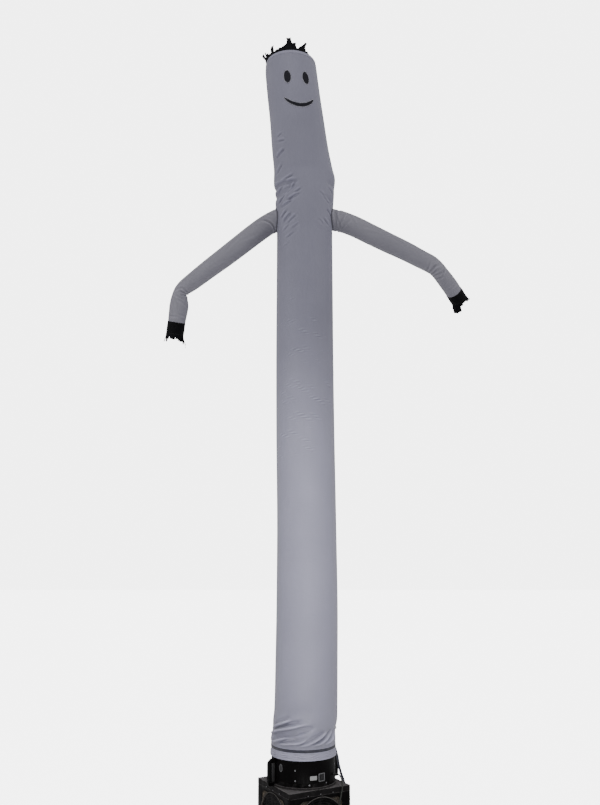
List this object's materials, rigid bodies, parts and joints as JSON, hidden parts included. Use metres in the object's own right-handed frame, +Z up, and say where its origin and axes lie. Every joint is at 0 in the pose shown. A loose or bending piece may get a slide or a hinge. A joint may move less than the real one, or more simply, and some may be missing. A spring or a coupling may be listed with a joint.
{
  "type": "inflatable air dancer on blower",
  "caption": "Tall nylon tube figure with sleeve arms, black cuffs and streamer hair, strapped over the round outlet of a square floor blower that would keep it full of air",
  "frame": {"origin": "centre of the blower's underside, on the floor; under the middle of the drum", "axes": "+Z up along the figure; -Y towards the viewer of the figure's face; +X to the viewer's right, along the arms"},
  "size_m": [2.4814, 0.6688, 6.2663],
  "materials": {
    "nylon": "ripstop nylon with a thin coating, satin",
    "black_nylon": "black ripstop nylon",
    "charcoal_patch": "charcoal nylon patch with a stitched edge",
    "webbing": "woven webbing",
    "black_metal": "black powder coat, semi-gloss",
    "dark_plastic": "matt moulded plastic",
    "pale_plate": "blank plate",
    "bright_bolt": "zinc-plated steel",
    "cord_rubber": "rubber sheath"
  },
  "bodies": {
    "root": {"body_tube": "nylon", "arm_left": "nylon", "arm_right": "nylon", "cuff_left": "black_nylon", "cuff_right": "black_nylon", "fringe_left": "black_nylon", "fringe_right": "black_nylon", "hair_fringe": "black_nylon", "eye_left": "charcoal_patch", "eye_right": "charcoal_patch", "smile": "charcoal_patch", "strap": "webbing", "strap_tail": "webbing", "bottom_pan": "black_metal", "side_panel_front": "black_metal", "side_panel_right": "black_metal", "side_panel_back": "black_metal", "side_panel_left": "black_metal", "guard_front": "black_metal", "guard_right": "black_metal", "guard_back": "black_metal", "guard_left": "black_metal", "lid": "black_metal", "motor_bar": "black_metal", "fan_motor": "black_metal", "drum": "black_metal", "drum_ring": "black_metal", "handle_left": "black_metal", "handle_right": "black_metal", "switch_bezel": "dark_plastic", "blank_plate": "pale_plate", "oval_plate": "pale_plate", "drum_bolt_1": "bright_bolt", "drum_bolt_2": "bright_bolt", "drum_bolt_3": "bright_bolt", "drum_bolt_4": "bright_bolt", "drum_bolt_5": "bright_bolt", "drum_bolt_6": "bright_bolt", "drum_bolt_7": "bright_bolt", "cable_gland": "cord_rubber", "power_cord": "cord_rubber", "cord_coil": "cord_rubber", "cord_plug": "cord_rubber"}
  },
  "joints": []
}
